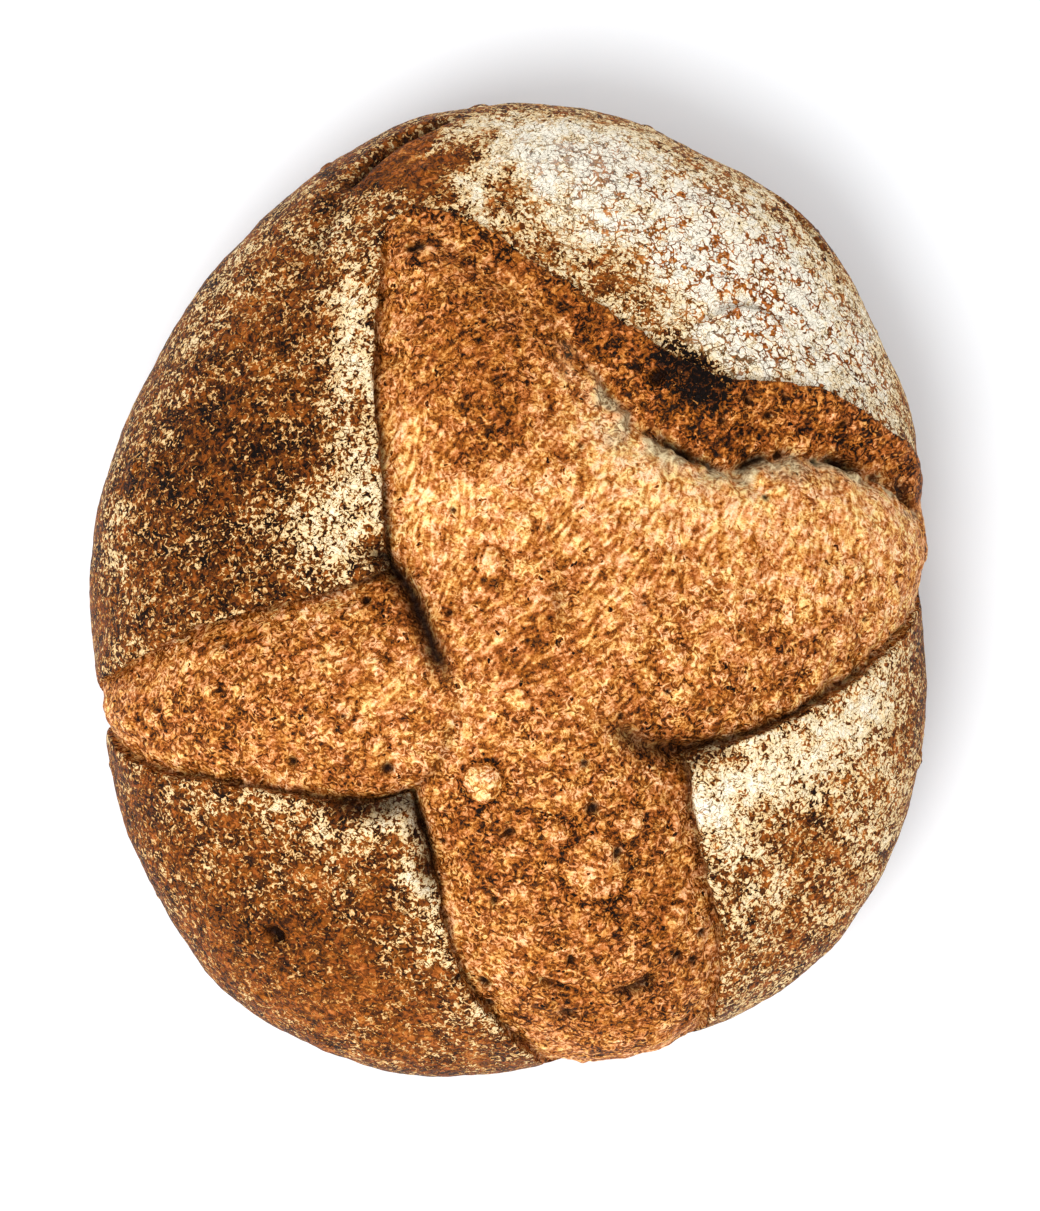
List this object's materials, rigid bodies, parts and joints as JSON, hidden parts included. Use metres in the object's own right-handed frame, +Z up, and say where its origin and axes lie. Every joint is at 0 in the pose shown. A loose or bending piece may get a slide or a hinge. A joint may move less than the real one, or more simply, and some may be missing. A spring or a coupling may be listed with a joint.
{
  "type": "sourdough loaf",
  "caption": "Round country loaf with floured flaps of crust opened around a raised, darker baked cross, resting on its flat base.",
  "frame": {"origin": "on the flat base, under the centre of the loaf's bounding box", "axes": "+Z up out of the crown; +Y along the loaf's longest way, towards the end of the narrow upper arm of the cross; +X to the right seen from above, towards the widest arm"},
  "size_m": [0.2182, 0.254, 0.0945],
  "materials": {
    "crust": "matte"
  },
  "bodies": {
    "root": {"loaf": "crust"}
  },
  "joints": []
}
